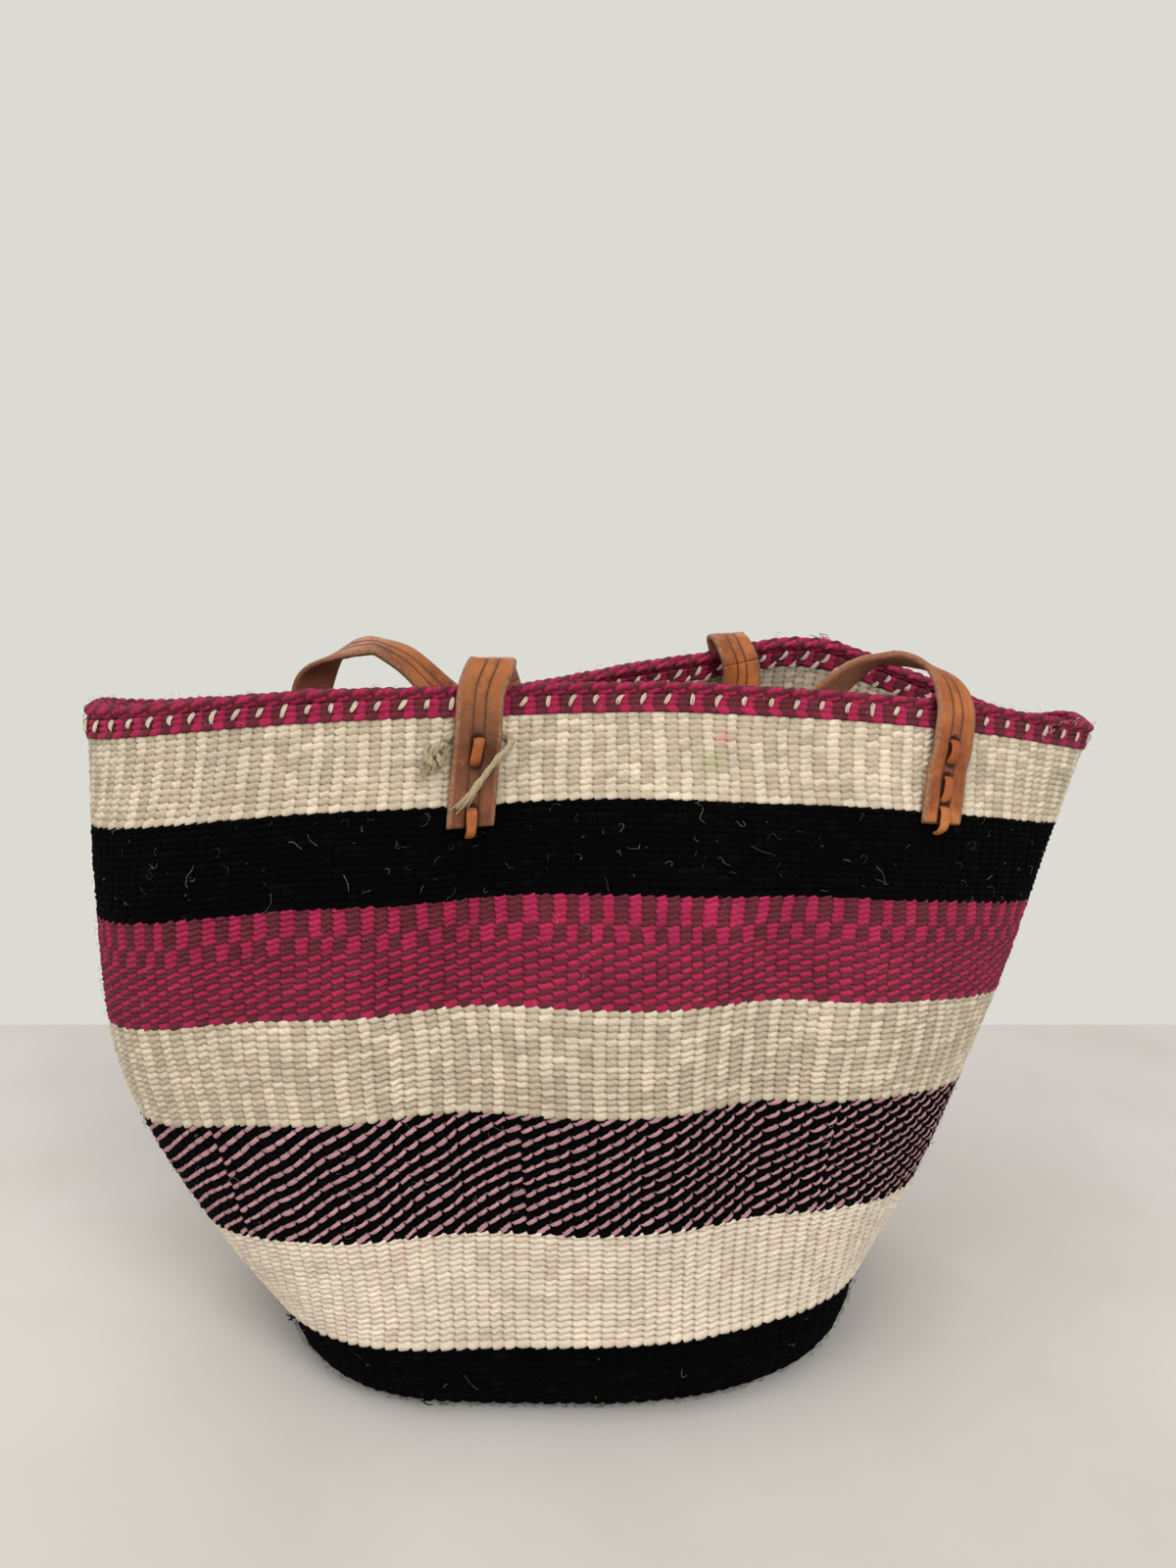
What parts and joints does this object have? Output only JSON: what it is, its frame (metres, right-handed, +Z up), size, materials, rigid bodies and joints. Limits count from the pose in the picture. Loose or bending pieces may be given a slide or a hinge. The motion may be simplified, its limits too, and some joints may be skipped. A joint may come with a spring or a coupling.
{
  "type": "woven wool basket",
  "caption": "Soft twined wool basket with cream, black and pink bands, a braided rim and two short leather strap handles that lie inside its mouth.",
  "frame": {"origin": "centre of the round base, on the floor", "axes": "+Z up, +X along the long way of the mouth to the viewer's right, -Y towards the viewer of the front"},
  "size_m": [0.4527, 0.2271, 0.3061],
  "materials": {
    "cream_yarn": "matt, round yarn twined in close rows",
    "pale_cream_yarn": "matt, round yarn twined in close rows, faintly pink in places",
    "black_yarn": "matt black yarn with fine stray hairs",
    "black_and_pink_yarn": "matt, black and light pink stitches taking turns",
    "pink_yarn": "matt, maroon and bright pink stitches taking turns",
    "rim_yarn": "matt, maroon and pink braid with short white stitches",
    "strap_leather": "satin tan leather with two pressed lines, rough brown underneath",
    "lace_leather": "satin tan leather",
    "jute": "matt, hairy two-strand jute twine"
  },
  "bodies": {
    "basket": {"base_disc": "black_yarn", "base_band": "black_yarn", "lower_cream_band": "pale_cream_yarn", "black_pink_band": "black_and_pink_yarn", "middle_cream_band": "cream_yarn", "pink_band": "pink_yarn", "black_band": "black_yarn", "upper_cream_band": "cream_yarn", "rim_band": "rim_yarn", "rim_braid": "rim_yarn", "front_strap_fold_end": "strap_leather", "front_strap_arch_end": "strap_leather", "front_fold_end_lace": "lace_leather", "front_arch_end_lace": "lace_leather", "rear_strap_fold_end": "strap_leather", "rear_strap_arch_end": "strap_leather", "rear_fold_end_lace": "lace_leather", "rear_arch_end_lace": "lace_leather", "tag_twine": "jute", "tag_twine_knot": "jute"},
    "front_handle": {"front_strap_loop": "strap_leather"},
    "rear_handle": {"rear_strap_loop": "strap_leather"}
  },
  "joints": [
    {"name": "front_handle_swing", "type": "hinge", "parent": "basket", "child": "front_handle", "pos_m": [-0.03122, -0.0518, 0.30502], "axis": [0.9664, 0.2554, -0.0272], "range_deg": [0, 180]},
    {"name": "rear_handle_swing", "type": "hinge", "parent": "basket", "child": "rear_handle", "pos_m": [0.07566, 0.05787, 0.30296], "axis": [-0.9629, -0.2699, 0.0047], "range_deg": [0, 180]}
  ]
}
